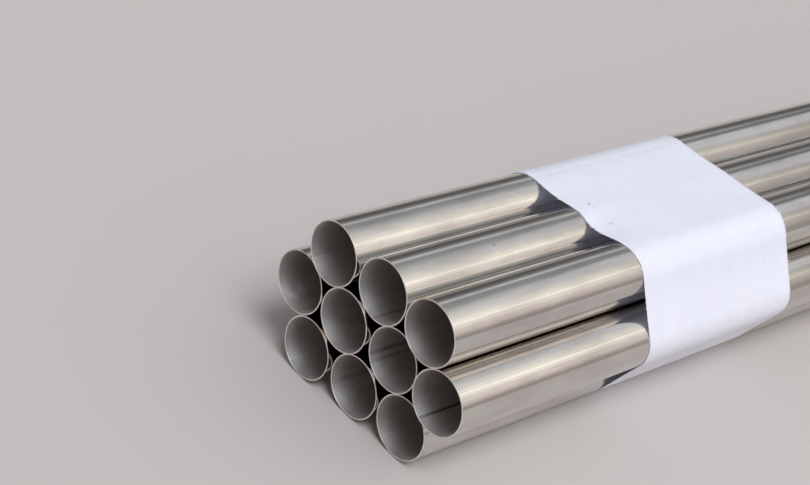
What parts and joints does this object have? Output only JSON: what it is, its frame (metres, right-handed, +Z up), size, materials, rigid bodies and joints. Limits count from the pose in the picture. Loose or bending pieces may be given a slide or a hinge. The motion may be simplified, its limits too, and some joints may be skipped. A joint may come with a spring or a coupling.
{
  "type": "bundle of steel pipes",
  "caption": "Hexagonal bundle of welded stainless steel pipes, stacked in staggered rows and held together by wraps of white woven cloth.",
  "frame": {"origin": "on the floor, under the middle of the bundle", "axes": "+Y along the pipes, away from the ends that the picture shows; +X across the bundle; +Z up"},
  "size_m": [0.4094, 6.018, 0.2803],
  "materials": {
    "pipe_steel": "bright welded stainless steel, polished along the pipe, with fine lengthwise and crosswise polishing lines",
    "wrap_cloth": "white coated woven plastic cloth, slightly glossy, with faint creases"
  },
  "bodies": {
    "root": {"pipe_bottom_1": "pipe_steel", "pipe_bottom_2": "pipe_steel", "pipe_bottom_3": "pipe_steel", "pipe_middle_1": "pipe_steel", "pipe_middle_2": "pipe_steel", "pipe_middle_3": "pipe_steel", "pipe_middle_4": "pipe_steel", "pipe_top_1": "pipe_steel", "pipe_top_2": "pipe_steel", "pipe_top_3": "pipe_steel", "wrap_1": "wrap_cloth", "wrap_2": "wrap_cloth", "wrap_3": "wrap_cloth"}
  },
  "joints": []
}
